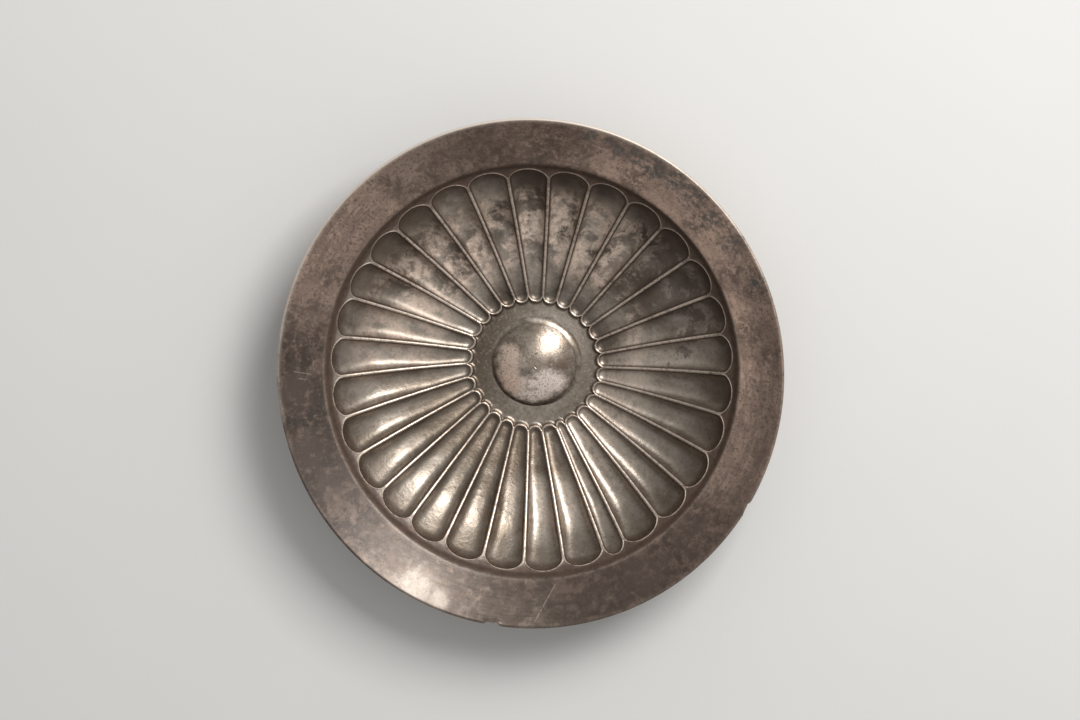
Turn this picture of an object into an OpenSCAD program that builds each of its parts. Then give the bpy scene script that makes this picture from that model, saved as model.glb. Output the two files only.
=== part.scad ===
// Silver phiale mesomphalos: a shallow libation bowl with thirty sunk tongues round a hollow
// central boss, under which the fingertips hold it. It stands mouth up on its flat disc.
// Millimetres, +Z up. The origin is the middle of the face that it stands on.

/* [Lip] */
// Diameter across the rim
rim_d = 220; // [200:1:250]
// Width of the flaring lip, measured level
lip_w = 19.6; // [15:0.2:24]
// Rise of the lip from its inner edge to the rim
lip_rise = 9.6; // [6:0.2:13]
// Height by which the lip's curve stands above a straight slope
lip_flare = 0.75; // [0.3:0.05:1.1]
// Diameter of the rounded, slightly thickened edge
edge_d = 1.7; // [1.5:0.1:2.4]

/* [Shoulder] */
// Width of the step between tongues and lip, measured level
step_w = 2.2; // [1.6:0.1:3]
// Height of that step
step_rise = 3.2; // [2.6:0.1:4.5]

/* [Bowl] */
// Thickness of the raised sheet
sheet_t = 1.2; // [0.9:0.1:1.4]
// Rise of the tongued wall from the disc's edge to the shoulder
wall_rise = 25; // [21:0.5:30]
// Diameter of the flat central disc
disc_d = 54.8; // [52:0.2:60]
// Height of the tongue border above the disc
border_rise = 1; // [0.8:0.1:1.4]
// Width of the level land between a tongue's inner end and the border's edge
border_w = 1.2; // [0.8:0.1:1.6]

/* [Tongues] */
// Number of tongues, the narrow closing one included
tongue_count = 30; // [26:1:32]
// Angle that the narrow closing tongue spans at the shoulder
narrow_outer = 6.8; // [5.5:0.1:9]
// Angle that the narrow closing tongue spans at the disc
narrow_inner = 8.6; // [8:0.1:10]
// Angle of the closing tongue, seen from above, anticlockwise from +X
narrow_angle = -64.7; // [-180:0.1:180]
// Angle by which the tongues' inner ends lean clockwise
lean_angle = 2.4; // [0:0.1:4]
// Width of the ridge between two tongues
ridge_w = 1.4; // [1.3:0.1:1.9]
// Height of a tongue's turning axis above the wall at its inner end
inner_axis = 4.4; // [3.8:0.1:5]
// Height of a tongue's turning axis above the wall at its outer end
outer_axis = 10; // [8:0.2:13]
// Depth of a tongue's outer arch as a share of its half width
arch = 0.6; // [0.4:0.05:0.9]

/* [Omphalos] */
// Diameter of the boss at its foot
boss_d = 36.4; // [34:0.2:40]
// Height of the boss above the disc
boss_rise = 6.6; // [5:0.2:9]
// Thickness of the boss's sheet
boss_t = 1.3; // [1:0.1:1.6]
// Height of the upright collar at the boss's foot
collar_h = 0.9; // [0.6:0.1:1.4]
// Width of the disc's lap under the boss's foot
lap = 2.2; // [1.8:0.1:3]

/* [Solder seam] */
// Width of the solder fillet on the disc
seam_w = 2.4; // [1.6:0.1:3.2]
// Height of the solder fillet on the boss
seam_h = 0.9; // [0.6:0.1:1.4]
// Gap that the fillet keeps from the boss
seam_gap = 0.05; // [0.03:0.01:0.1]

/* [Hidden] */
$fn = 160;
tongue_fn = 72;
// Straight facets along a tongue's floor, round the ends of its hollow and of its bulge
floor_steps = 3;
hollow_steps = 3;
bulge_steps = 2;
dome_steps = 12;
// Straight facets across the lip
lip_steps = 6;
// Overlap that lets cuts run clear of the faces they open
clear = 0.3;
// Share of the sheet's thickness at which an outer bulge is rooted
root_share = 0.9;
// Straight facets down the solder's hollow face
seam_steps = 4;
degrees = 180 / PI;

// Radii and heights down the bowl's inner face
disc_r = disc_d / 2;
rim_r = rim_d / 2;
lip_r = rim_r - lip_w;
wall_r = lip_r - step_w;
disc_z = sheet_t;
border_z = disc_z + border_rise;
shoulder_z = border_z + wall_rise;
lip_z = shoulder_z + step_rise;
rim_z = lip_z + lip_rise;

// The tongued wall is part of a ball through the disc's edge and the shoulder
ball_z = (wall_r ^ 2 + shoulder_z ^ 2 - disc_r ^ 2 - border_z ^ 2) / (2 * wall_rise);
ball_r = norm([disc_r, ball_z - border_z]);

// Pitch of the equal tongues at either end
outer_pitch = (360 - narrow_outer) / (tongue_count - 1);
inner_pitch = (360 - narrow_inner) / (tongue_count - 1);

boss_r = boss_d / 2;
hole_r = boss_r - lap;
step_dir = unit([step_w, step_rise]);

function unit(v) = v / norm(v);
function below(dir) = [dir.y, -dir.x];
function blend(a, b, share) = a + (b - a) * share;

// Point on the lip's inner face and heading of that face, from its inner edge at 0 to the rim at 1
function lip_point(t) =
    [lip_r, lip_z] + t * [lip_w, lip_rise] + 4 * lip_flare * t * (1 - t) * unit([-lip_rise, lip_w]);
function lip_heading(t) =
    unit([lip_w, lip_rise] + 4 * lip_flare * (1 - 2 * t) * unit([-lip_rise, lip_w]));

// Corner of the underside where step and lip meet, one sheet below the inner corner
function lip_corner() =
    let (heading = lip_heading(0))
    [lip_r, lip_z] + sheet_t * (below(step_dir) + below(heading)) / (1 + step_dir * heading);

// Radius at which the step's slope, lowered by a drop, comes down to a height
function step_foot(drop, z) =
    let (p = [wall_r, shoulder_z] + drop * below(step_dir))
    p.x - (p.y - z) * step_w / step_rise;

// Solid side of the sheet without tongues: all above its underside
module underside_profile() {
    corner = lip_corner();
    intersection() {
        translate([0, ball_z]) circle(r = ball_r + sheet_t);
        polygon([[0, 0], [step_foot(sheet_t, 0), 0], corner, [0, corner.y]]);
    }
    polygon([
        [0, corner.y - step_rise / 2],
        [corner.x - step_w, corner.y - step_rise / 2],
        corner,
        for (i = [1 : lip_steps])
            let (t = i / lip_steps * (1 - edge_d / 2 / lip_w))
            lip_point(t) + sheet_t * below(lip_heading(t)),
        [rim_r - edge_d / 2, rim_z + clear],
        [0, rim_z + clear]
    ]);
    square([disc_r + border_w, border_z]);
}

// Hollow of the bowl above its inner face without tongues
module cavity_profile() {
    top = rim_z + 2 * edge_d;
    intersection() {
        translate([0, ball_z]) circle(r = ball_r);
        polygon([[0, disc_z], [step_foot(0, disc_z), disc_z], [lip_r, lip_z], [0, lip_z]]);
    }
    polygon([
        [0, shoulder_z],
        [wall_r - step_w, shoulder_z],
        for (i = [0 : lip_steps]) lip_point(i / lip_steps),
        [rim_r, top],
        [0, top]
    ]);
    translate([0, disc_z]) square([disc_r, border_rise + border_w]);
}

// Sheet of the bowl without tongues, with its thick edge and its central opening
module sheet_profile() {
    difference() {
        underside_profile();
        cavity_profile();
        translate([0, -clear]) square([hole_r, disc_z + 2 * clear]);
    }
    translate([rim_r - edge_d / 2, rim_z - edge_d / 2]) circle(d = edge_d);
}

// Point above the ball's face at a level radius, a direction and a height off the face
function over_wall(r, angle, height) =
    let (down = asin(r / ball_r), reach = ball_r - height)
    [reach * sin(down) * cos(angle), reach * sin(down) * sin(angle), ball_z - reach * cos(down)];

function from_ball(p) = norm(p - [0, 0, ball_z]);
function wall_radius(p) = ball_r * norm([p.x, p.y]) / from_ball(p);
function half_width(r, span) = (r * span / degrees - ridge_w) / 2;

// Turning radius that gives a tongue its width where it opens on the wall
function turn_radius(p, span) =
    let (half = half_width(wall_radius(p), span), height = ball_r - from_ball(p))
    norm([half, height - half ^ 2 / (2 * ball_r)]);

// Half profile of a tongue about its axis: rounded inner end, long floor, shallow outer arch
function tongue_profile(start, end, inner_span, outer_span, grow, end_steps) =
    let (
        length = norm(end - start),
        radius = function (s)
            turn_radius(blend(start, end, s), blend(inner_span, outer_span, s)),
        step = 1 / floor_steps,
        tilt = function (s)
            asin((radius(s + step / 2) - radius(s - step / 2)) / (step * length))
    )
    [
        for (i = [0 : end_steps - 1])
            let (a = blend(90, tilt(0), i / end_steps))
            (radius(0) + grow) * [cos(a), -sin(a)],
        for (s = [0 : step : 1 + step / 2])
            [0, s * length] + (radius(s) + grow) * [cos(tilt(s)), -sin(tilt(s))],
        for (i = [1 : end_steps])
            let (a = blend(max(0, -tilt(1)), 90, i / end_steps))
            [0, length] + [(radius(1) + grow) * cos(a), (radius(1) * arch + grow) * sin(a)]
    ];

// One tongue as a turned body on its inclined axis, grown outward for the bulge beneath it
module tongue_body(inner_at, outer_at, inner_span, outer_span, grow, end_steps) {
    tip_r = disc_r + border_w;
    inner_r = (tip_r - ridge_w / 2) / (1 - inner_span / degrees / 2);
    arch_reach = arch * half_width(wall_r, outer_span) * cos(asin(wall_r / ball_r));
    outer_r = wall_r - ridge_w / 2 - arch_reach;
    start = over_wall(inner_r, inner_at, inner_axis);
    end = over_wall(outer_r, outer_at, outer_axis);
    along = unit(end - start);
    outward = (start + end) / 2 - [0, 0, ball_z];
    floor_dir = unit(outward - (outward * along) * along);
    side = cross(along, floor_dir);
    multmatrix([
        [floor_dir.x, side.x, along.x, start.x],
        [floor_dir.y, side.y, along.y, start.y],
        [floor_dir.z, side.z, along.z, start.z],
        [0, 0, 0, 1]
    ])
    rotate_extrude($fn = tongue_fn)
    polygon(tongue_profile(start, end, inner_span, outer_span, grow, end_steps));
}

// Every tongue, kept below a ball that lies a depth under the wall's face
module tongues(grow, depth, end_steps) {
    for (i = [0 : tongue_count - 1]) {
        closing = i == 0;
        outer_span = closing ? narrow_outer : outer_pitch;
        inner_span = closing ? narrow_inner : inner_pitch;
        outer_at = narrow_angle + (closing ? 0 : narrow_outer / 2 + (i - 0.5) * outer_pitch);
        inner_at = narrow_angle - lean_angle + (closing ? 0 : narrow_inner / 2 + (i - 0.5) * inner_pitch);
        difference() {
            tongue_body(inner_at, outer_at, inner_span, outer_span, grow, end_steps);
            translate([0, 0, ball_z]) sphere(r = ball_r + depth);
        }
    }
}

// Raised sheet: flaring lip, step, tongued wall and flat disc with the opening under the boss
module bowl() {
    color([0.56, 0.52, 0.47])
    difference() {
        union() {
            rotate_extrude() sheet_profile();
            tongues(sheet_t, root_share * sheet_t, bulge_steps);
        }
        tongues(0, -clear, hollow_steps);
    }
}

// Half outline of a dome that is part of a ball, from its foot up to its middle
function dome(r, foot, rise) =
    let (dome_r = (r ^ 2 + rise ^ 2) / (2 * rise), half = asin(r / dome_r))
    [
        for (i = [0 : dome_steps])
            let (a = half * (1 - i / dome_steps))
            [dome_r * sin(a), foot + rise - dome_r * (1 - cos(a))]
    ];

// Hollow boss that stands on the disc round its opening
module omphalos() {
    inner_r = boss_r - boss_t;
    color([0.62, 0.53, 0.46])
    translate([0, 0, disc_z])
    rotate_extrude()
    difference() {
        polygon(concat([[0, 0], [boss_r, 0]], dome(boss_r, collar_h, boss_rise - collar_h)));
        polygon(concat([[0, -clear], [inner_r, -clear]], dome(inner_r, 0, boss_rise - boss_t)));
    }
}

// Fillet of hard solder in the corner between disc and boss, which runs out flat on the disc
module solder_seam() {
    inner = boss_r + seam_gap;
    color([0.36, 0.33, 0.29])
    translate([0, 0, disc_z])
    rotate_extrude()
    polygon([
        [inner, 0],
        for (i = [0 : seam_steps])
            let (t = i / seam_steps)
            [inner + seam_w * (1 - t), seam_h * t ^ 2]
    ]);
}

bowl();
omphalos();
solder_seam();
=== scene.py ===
# Aged silver phiale mesomphalos: a hammered libation bowl with thirty sunk tongues round a boss.
# Sizes are in millimetres in the CAD frame and become metres when a mesh is made.
import math

import bmesh
import bpy
import numpy as np
from mathutils import Matrix, Vector, noise


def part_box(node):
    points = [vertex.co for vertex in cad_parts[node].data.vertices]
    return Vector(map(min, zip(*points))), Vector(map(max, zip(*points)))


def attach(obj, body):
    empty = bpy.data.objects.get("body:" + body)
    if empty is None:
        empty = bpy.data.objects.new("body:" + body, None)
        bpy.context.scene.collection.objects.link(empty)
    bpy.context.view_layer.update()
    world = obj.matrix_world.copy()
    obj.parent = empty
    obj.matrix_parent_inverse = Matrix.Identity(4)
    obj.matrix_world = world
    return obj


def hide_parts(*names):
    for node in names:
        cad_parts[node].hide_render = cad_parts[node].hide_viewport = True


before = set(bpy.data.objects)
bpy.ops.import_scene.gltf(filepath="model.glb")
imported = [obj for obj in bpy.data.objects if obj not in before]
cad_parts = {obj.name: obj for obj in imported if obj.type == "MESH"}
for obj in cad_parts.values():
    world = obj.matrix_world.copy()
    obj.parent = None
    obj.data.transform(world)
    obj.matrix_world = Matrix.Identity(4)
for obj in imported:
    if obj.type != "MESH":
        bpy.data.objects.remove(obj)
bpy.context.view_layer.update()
MM = 0.001
QUARTER = math.pi / 2
# Slack in comparing places
SLACK = 1e-9

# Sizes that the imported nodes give
bowl_low, bowl_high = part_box("bowl")
boss_low, boss_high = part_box("omphalos")
RIM_R = (bowl_high.x - bowl_low.x) / 2 / MM
RIM_Z = bowl_high.z / MM
DISC_Z = boss_low.z / MM
BOSS_R = (boss_high.x - boss_low.x) / 2 / MM
BOSS_RISE = (boss_high.z - boss_low.z) / MM

# Other sizes, as in the CAD
SHEET_T = DISC_Z
LIP_W = 19.6
LIP_RISE = 9.6
EDGE_D = 1.7
STEP_W = 2.2
STEP_RISE = 3.2
DISC_R = 27.4
BORDER_RISE = 1
BORDER_W = 1.2
LAP = 2.2
BOSS_T = 1.3
COLLAR_H = 0.9
# Height of the lip's middle above a straight slope: less than 0, so it is hollow
FLARE = -0.3

# The tongues as in the CAD, angles in degrees anticlockwise from +X
TONGUES = 30
NARROW_OUTER = 6.8
NARROW_INNER = 8.6
NARROW_AT = -64.7
LEAN = 2.4
# Half width of a ridge, toward the disc and toward the shoulder
RIDGE_HALF = (0.58, 0.7)
# Length of the tip against its half width, then length and roundness of the arch
TIP_LONG = 1.12
ARCH_RISE = 5.2
ARCH_POWER = 2.2
# Depth near the tip and at the deepest, and power by which a narrow tongue is shallower
DEPTH = (1, 3.9)
NARROW_POWER = 1.5
# Level radii between which the floor sinks, and from which a share of it rises again to the arch
SINK_R = 42
DEEP_R = 73
SCOOP_R = 68
SCOOP = 0.55
# Powers of the hollow's cross curve: 2 is round, more is flatter with steeper sides
INNER_POWER = 3
SIDE_POWER = 4.2
TIP_POWER = 2.5
END_POWER = 2.2

# Height and half width of the beads along the tongues' edges
BEAD_H = 0.26
ARCH_BEAD = 0.3
TIP_BEAD = 0.68
TIP_BEAD_H = 0.48
# Width of the band round tip and arch, and length of the gap where it leaves the ridge
TIP_BAND = 1.7
TIP_GAP = 2.2
ARCH_BAND = 0.7
ARCH_GAP = 1.7
# Power of the band's pull to the gap, and how far the tip's band may turn toward its corner
PULL_POWER = 3
TURN_LIMIT = 0.99
# Degrees by which the ridges stray at the shoulder and at the disc
WOBBLE = (0.2, 0.6)
# Unevenness of handwork: height, span and seed of each noise
SWELL = (0.12, 26, 3)
HAMMER = (0.12, 7.5, 5)
RIPPLE = (0.03, 5, 9)
BOSS_HAMMER = (0.05, 6, 7)
# Height above which the ripple counts, so that the rest face stays flat
RIPPLE_Z = 0.5
# How far the rim is out of round, and how far it goes up and down
OVAL = 0.9
WARP = 0.25
# Fall of the disc's upper face toward the tongues, and the radii between which it falls
DISC_FALL = 0.3
FALL_R = (BOSS_R + 1, DISC_R - 1.5)

# Radii and heights down the inner face
LIP_R = RIM_R - LIP_W
WALL_R = LIP_R - STEP_W
LIP_Z = RIM_Z - LIP_RISE
SHOULDER_Z = LIP_Z - STEP_RISE
BORDER_Z = DISC_Z + BORDER_RISE
HOLE_R = BOSS_R - LAP
TIP_R = DISC_R + BORDER_W
ARCH_R = WALL_R - RIDGE_HALF[1]
OUTER_PITCH = (360 - NARROW_OUTER) / (TONGUES - 1)
INNER_PITCH = (360 - NARROW_INNER) / (TONGUES - 1)

# The tongued wall is part of a ball through the disc's edge and the shoulder
BALL_Z = (WALL_R**2 + SHOULDER_Z**2 - DISC_R**2 - BORDER_Z**2) / (2 * (SHOULDER_Z - BORDER_Z))
BALL_R = math.hypot(DISC_R, BALL_Z - BORDER_Z)

rng = np.random.default_rng(TONGUES)


def ramp(x, low, high):
    """Soft step from 0 at low to 1 at high."""
    t = np.clip((x - low) / (high - low), 0, 1)
    return t * t * (3 - 2 * t)


def blend(a, b, share):
    """Value at a share of the way from a to b."""
    return a + (b - a) * share


def bell(x, middle, half):
    """Soft bump of height 1 round a middle."""
    return np.exp(-(((x - middle) / half) ** 2))


def steps(count):
    """Shares from 0 to 1 in a number of steps, as a column."""
    return np.linspace(0, 1, count + 1)[:, None]


def meridian(r):
    """Length along the ball's face from its lowest point to a level radius."""
    return BALL_R * np.arcsin(r / BALL_R)


def level_radius(m):
    """Level radius at a length along the ball's face."""
    return BALL_R * np.sin(m / BALL_R)


def spot(turn, r):
    """Place in plan at a compass turn, clockwise from +Y in degrees, and a level radius."""
    return np.array([r * math.sin(math.radians(turn)), r * math.cos(math.radians(turn))])


def around(r, angle, z):
    """Points from level radii, directions and heights."""
    return np.stack(np.broadcast_arrays(r * np.cos(angle), r * np.sin(angle), z), -1)


def put_in_scene(name, data):
    made = bpy.data.objects.new(name, data)
    bpy.context.collection.objects.link(made)
    return made


class Patchwork:
    """Grid patches with values at their points, welded into one mesh."""

    # Points nearer than this become one, and edges shorter than this go
    WELD = 0.002
    SLIVER = 0.001

    def __init__(self, *names):
        self.points = []
        self.quads = []
        self.values = {name: [] for name in names}
        self.count = 0

    def grid(self, points, **values):
        rows, columns = points.shape[:2]
        index = self.count + np.arange(rows * columns).reshape(rows, columns)
        corners = (index[:-1, :-1], index[1:, :-1], index[1:, 1:], index[:-1, 1:])
        self.quads.append(np.stack(corners, -1).reshape(-1, 4))
        self.points.append(points.reshape(-1, 3))
        for name, kept in self.values.items():
            kept.append(np.broadcast_to(values.get(name, 0), (rows, columns)).ravel())
        self.count += rows * columns

    def mesh(self, name, shape=None):
        """One welded mesh object in metres, its points changed by shape if that is given."""
        data = bpy.data.meshes.new(name)
        points = np.concatenate(self.points)
        if shape is not None:
            points = shape(points)
        data.from_pydata((points * MM).tolist(), [], np.concatenate(self.quads).tolist())
        for label, kept in self.values.items():
            layer = data.attributes.new(label, "FLOAT", "POINT")
            layer.data.foreach_set("value", np.concatenate(kept).astype(np.float32))
        weld = bmesh.new()
        weld.from_mesh(data)
        bmesh.ops.remove_doubles(weld, verts=weld.verts, dist=self.WELD * MM)
        bmesh.ops.dissolve_degenerate(weld, edges=weld.edges, dist=self.SLIVER * MM)
        bmesh.ops.recalc_face_normals(weld, faces=weld.faces)
        weld.to_mesh(data)
        weld.free()
        data.shade_smooth()
        return put_in_scene(name, data)


def ridge_angles(start, narrow, pitch, stray):
    """Direction of each ridge at one of its ends, slightly uneven."""
    even = start + narrow / 2 + np.arange(TONGUES) * pitch
    return np.radians(even + stray * rng.uniform(-1, 1, TONGUES))


RIDGE_OUTER = ridge_angles(NARROW_AT, NARROW_OUTER, OUTER_PITCH, WOBBLE[0])
RIDGE_INNER = ridge_angles(NARROW_AT - LEAN, NARROW_INNER, INNER_PITCH, WOBBLE[1])


def ridge_at(j, r):
    """Direction of ridge j at a level radius: a straight line seen from above."""
    turns = j // TONGUES
    j = j % TONGUES
    share = (1 / r - 1 / ARCH_R) / (1 / TIP_R - 1 / ARCH_R)
    return blend(RIDGE_OUTER[j], RIDGE_INNER[j], share) + 2 * math.pi * turns


# Places along the wall where a tongue's parts begin and end and its depth changes
M_TIP, M_SINK, M_SCOOP, M_DEEP, M_ARCH = map(meridian, (TIP_R, SINK_R, SCOOP_R, DEEP_R, ARCH_R))
M_BEND = M_ARCH - ARCH_RISE
M_JOIN = M_TIP + (TIP_R * math.radians(INNER_PITCH) / 2 - RIDGE_HALF[0]) * TIP_LONG


def ridge_half(m):
    """Half width of a ridge at a place along the wall."""
    share = np.clip((m - M_JOIN) / (M_BEND - M_JOIN), 0, 1)
    return blend(*RIDGE_HALF, share)


def depth_at(m):
    """Depth of a tongue's floor below the wall."""
    return blend(*DEPTH, ramp(m, M_SINK, M_DEEP)) * (1 - SCOOP * ramp(m, M_SCOOP, M_ARCH))


class Tongue:
    """Half outline of a tongue from tip to arch: distances x from its middle at places m along the wall."""

    # Turns on tip and arch where the gap between two tongues' bands ends
    TIP_TURN = math.radians(55)
    ARCH_TURN = math.radians(26)
    # Steps round tip and arch, and along a gap
    TIP_STEPS = 7
    ARCH_STEPS = 10
    GAP_STEPS = 4

    def __init__(self, number, sign, side_steps):
        self.number = number
        self.sign = sign
        runs = zip(self.tip(), self.side(side_steps), self.arch())
        joined = [np.concatenate([tip[:-1], side, arch[1:]]) for tip, side, arch in runs]
        self.x, self.m, self.middle, self.outer_x, self.outer_m, self.band, self.own, self.power = joined
        self.in_tip = self.m <= M_JOIN + SLACK
        self.in_arch = self.m >= M_BEND - SLACK
        self.tip_arc = slice(0, self.TIP_STEPS + 1)
        self.arch_arc = slice(-self.ARCH_STEPS - 1, None)

    def centre(self, r):
        return (ridge_at(self.number, r) + ridge_at(self.number - 1, r)) / 2

    def angle(self, x, m):
        """Direction of a point at a distance from the tongue's middle."""
        r = level_radius(m)
        return self.centre(r) + self.sign * x / r

    def reach(self, m):
        """Distance from the tongue's middle to the middle of the ridge beside it."""
        r = level_radius(m)
        return r * ((ridge_at(self.number, r) - ridge_at(self.number - 1, r)) / 2)

    def share(self, m):
        """Depth of this tongue as a share of the usual one, less where it is narrow."""
        usual = level_radius(m) * math.radians(OUTER_PITCH) / 2
        return np.minimum(1, self.reach(m) / usual) ** NARROW_POWER

    def band_line(self, x, m, away, back, left, start, gap, width):
        """Outer line of an end's band: on the ridge in the gap, then a width away from the outline.

        back is the share of the gap behind a point, left the share of the round before it.
        """
        in_gap = back <= 1 + SLACK
        corner = np.argmin(np.abs(back - 1))
        away = away / np.hypot(*away)
        ridge_m = start + gap * back
        line_x = x + width * away[0]
        line_m = m + width * away[1]
        pull = np.where(in_gap, 1, left**PULL_POWER)
        line_x = line_x + (self.reach(start + gap) - line_x[corner]) * pull
        line_m = line_m + (start + gap - line_m[corner]) * pull
        return np.where(in_gap, self.reach(ridge_m), line_x), np.where(in_gap, ridge_m, line_m)

    def rounded(self, x, m, line, back, start, width, power):
        """All values along an end that is hollowed from one place."""
        own = np.clip(back, 0, 1) ** 2
        return x, m, np.full_like(m, start), *line, blend(ridge_half(start), width, own), own, power

    def tip(self):
        """Rounded inner end, with the band round it, as far as the straight side."""
        arc = np.linspace(0, self.TIP_TURN, self.TIP_STEPS + 1)
        gap = np.linspace(self.TIP_TURN, QUARTER, self.GAP_STEPS + 1)
        turn = np.concatenate([arc, gap[1:]])
        wide = self.reach(M_JOIN) - ridge_half(M_JOIN)
        long = M_JOIN - M_TIP
        x = wide * np.sin(turn)
        m = M_JOIN - long * np.cos(turn)
        away = np.stack([np.sin(turn) / wide, -np.cos(turn) / long])
        back = (QUARTER - turn) / (QUARTER - self.TIP_TURN)
        left = turn / self.TIP_TURN
        line_x, line_m = self.band_line(x, m, away, back, left, M_JOIN, -TIP_GAP, TIP_BAND)
        # No point turns past the corner, because the disc inside it would fold there
        r = level_radius(line_m)
        corner = self.angle(line_x[self.TIP_STEPS], line_m[self.TIP_STEPS])
        limit = self.sign * (corner - self.centre(r)) * r
        line_x = np.where(back <= 1 + SLACK, line_x, np.minimum(line_x, TURN_LIMIT * limit))
        power = blend(TIP_POWER, INNER_POWER, np.sin(turn))
        return self.rounded(x, m, (line_x, line_m), back, M_JOIN, TIP_BAND, power)

    def side(self, count):
        """Straight side between the two rounded ends."""
        m = np.linspace(M_JOIN, M_BEND, count + 1)
        x = self.reach(m) - ridge_half(m)
        power = blend(INNER_POWER, SIDE_POWER, steps(count)[:, 0])
        return x, m, m, self.reach(m), m, ridge_half(m), 0 * m, power

    def arch(self):
        """Shallow outer arch with the band round it."""
        gap = np.linspace(0, self.ARCH_TURN, self.GAP_STEPS + 1)
        arc = np.linspace(self.ARCH_TURN, QUARTER, self.ARCH_STEPS + 1)
        turn = np.concatenate([gap, arc[1:]])
        wide = self.reach(M_BEND) - ridge_half(M_BEND)
        across = np.cos(turn).clip(0) ** (2 / ARCH_POWER)
        along = np.sin(turn).clip(0) ** (2 / ARCH_POWER)
        x = wide * across
        m = M_BEND + ARCH_RISE * along
        away = np.stack([across ** (ARCH_POWER - 1) / wide, along ** (ARCH_POWER - 1) / ARCH_RISE])
        back = turn / self.ARCH_TURN
        left = (QUARTER - turn) / (QUARTER - self.ARCH_TURN)
        line = self.band_line(x, m, away, back, left, M_BEND, ARCH_GAP, ARCH_BAND)
        power = blend(SIDE_POWER, END_POWER, np.sin(turn))
        return self.rounded(x, m, line, back, M_BEND, ARCH_BAND, power)


# Rows across a tongue, inside and beneath: shares of the way from its middle, margins inside its outline,
# and shares of the band outside
FINE_ROWS = ((0, 0.22, 0.44, 0.65, 0.84), (0.9, 0.45, 0.2, 0), (0, 0.2, 0.4, 0.6, 0.8, 1))
PLAIN_ROWS = ((0, 0.3, 0.6), (0.9, 0), (0, 0.5, 1))
# Steps along a tongue's straight side, inside and beneath
FINE_SIDE = 26
PLAIN_SIDE = 9
# Steps across the disc, and across the strip outside a tongue's arch
DISC_STEPS = 10
STRIP_STEPS = 3
# Dirt along a tongue: place and half width inside its outline, outside, and at the tips' foot
DIRT_INSIDE = (0.2, 0.42)
DIRT_OUTSIDE = (0, 0.15)
DIRT_FOOT = (TIP_BAND - 0.1, 0.2)
# Distances in which a tongue comes to count in full and an arch's bead fades, by which a tip's band goes
# down early, and by which a row is longer than its margin
CHANNEL_EDGE = 0.8
BEAD_FADE = 0.2
TIP_EARLY = 0.1
ROW_SPARE = 0.1


def sunk(tongue, shares, margins):
    """Points of a tongue's hollow, from its middle line out to its outline."""
    length = np.hypot(tongue.x, tongue.m - tongue.middle)
    row = np.maximum(length, margins[0] + ROW_SPARE)
    edge = 1 - margins[0] / row
    rings = [share * edge for share in shares]
    rings += [1 - margin / row for margin in margins]
    q = np.stack(rings, 1)
    x = q * tongue.x[:, None]
    m = tongue.middle[:, None] + q * (tongue.m - tongue.middle)[:, None]
    inside = (1 - q) * length[:, None]
    return x, m, q, inside


def banded(tongue, shares):
    """Points of the band outside a tongue's outline, as far as the next tongue's band."""
    f = np.array(shares)[None, :]
    x = blend(tongue.x[:, None], tongue.outer_x[:, None], f)
    m = blend(tongue.m[:, None], tongue.outer_m[:, None], f)
    return x, m, f * tongue.band[:, None]


def on_wall(tongue, x, m, height, drop):
    """Points at a height above the ball's face, lowered as a whole by a drop."""
    down = m / BALL_R
    reach = BALL_R - height + drop
    return around(reach * np.sin(down), tongue.angle(x, m), BALL_Z - reach * np.cos(down))


def bead(tongue, away):
    """Height of the raised line between two tongues, which parts in two at their ends."""
    half = blend(tongue.band, np.where(tongue.in_tip, TIP_BEAD, ARCH_BEAD), tongue.own)[:, None]
    high = BEAD_H + np.where(tongue.in_tip, TIP_BEAD_H - BEAD_H, 0) * tongue.own
    return high[:, None] * np.clip(1 - ((away - half) / half) ** 2, 0, 1)


def tongue_face(work, tongue, fine):
    """One half of a tongue, on the inner face if fine and else beneath, with its outer line."""
    drop = 0 if fine else SHEET_T
    shares, margins, bands = FINE_ROWS if fine else PLAIN_ROWS
    tip = tongue.in_tip[:, None]
    x, m, q, inside = sunk(tongue, shares, margins)
    height = -depth_at(m) * tongue.share(m) * (1 - q ** tongue.power[:, None])
    points = on_wall(tongue, x, m, height, drop)
    dirt = bell(inside, *DIRT_INSIDE) * np.where(tip, 0.5, 1)
    work.grid(points, crease=fine * dirt, channel=fine * ramp(inside, 0, CHANNEL_EDGE))
    x, m, away = banded(tongue, bands)
    raised = bead(tongue, away)
    fading = ramp(tongue.band[:, None] - away, 0, BEAD_FADE)
    height = fine * np.where(tongue.in_arch[:, None], raised * fading, raised)
    points = on_wall(tongue, x, m, height, drop)
    # The band round the tips goes down on to the disc
    level = DISC_Z - drop - DISC_FALL * fine
    down = np.where(tip, ramp(away, 2 * TIP_BEAD - TIP_EARLY, TIP_BAND), 0)
    points[..., 2] += (level - points[..., 2]) * down
    foot = np.where(tip, bell(away, *DIRT_FOOT), 0)
    dirt = np.maximum(0.6 * foot, np.where(tip, 0.2, 0.5) * bell(away, *DIRT_OUTSIDE))
    work.grid(points, crease=fine * dirt, wear=fine * ramp(1.5 * raised, 0, BEAD_H))
    return points[:, -1]


def disc_face(work, tongue, edge, top):
    """The flat disc inside one half of a tongue's tip."""
    edge = edge[tongue.tip_arc]
    angle = np.arctan2(edge[:, 1], edge[:, 0])
    r = blend(np.hypot(edge[:, 0], edge[:, 1]), HOLE_R, steps(DISC_STEPS))
    work.grid(around(r, angle, blend(top, edge[:, 2], ramp(r, *FALL_R))))
    return angle


def arc(centre, radius, start, end, count):
    """Points (r, z) of an arc in the profile, angles in degrees."""
    a = np.radians(np.linspace(start, end, count + 1))
    return np.stack([centre[0] + radius * np.cos(a), centre[1] + radius * np.sin(a)], 1)


def unit(v):
    return v / np.linalg.norm(v)


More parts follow.
